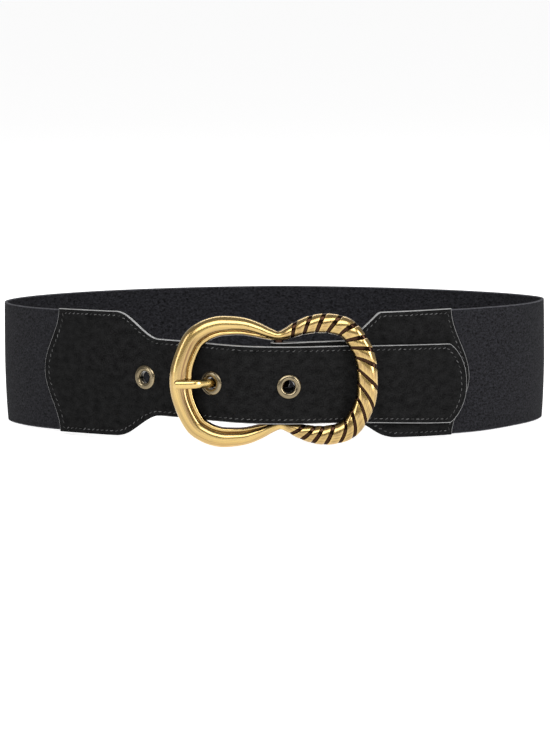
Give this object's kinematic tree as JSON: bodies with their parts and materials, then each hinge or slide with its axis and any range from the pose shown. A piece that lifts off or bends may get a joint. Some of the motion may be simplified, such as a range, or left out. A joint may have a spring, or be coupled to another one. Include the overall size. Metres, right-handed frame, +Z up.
{
  "type": "elastic stretch belt",
  "caption": "Wide elastic stretch belt with suede leather tabs, metal eyelets and a two-lobe cast buckle with a rope-twist side, fastened as a standing loop.",
  "frame": {"origin": "centre of the bounding box, on the surface that the belt's lower edge stands on", "axes": "+Z up along the belt's width, -Y towards the buckle's face, +X towards the side of the strap tip"},
  "size_m": [0.2724, 0.1978, 0.0647],
  "materials": {
    "elastic": "woven elastic webbing, matt with a fine sheen",
    "suede": "black suede, matt nap",
    "antique_gold": "polished antique gold plate with dark grooves",
    "antique_brass": "satin antique brass"
  },
  "bodies": {
    "root": {"elastic_band": "elastic", "left_tab": "suede", "right_tab": "suede", "buckle_frame": "antique_gold", "buckle_prong": "antique_gold", "eyelet_1": "antique_brass", "eyelet_2": "antique_brass", "eyelet_3": "antique_brass"}
  },
  "joints": []
}
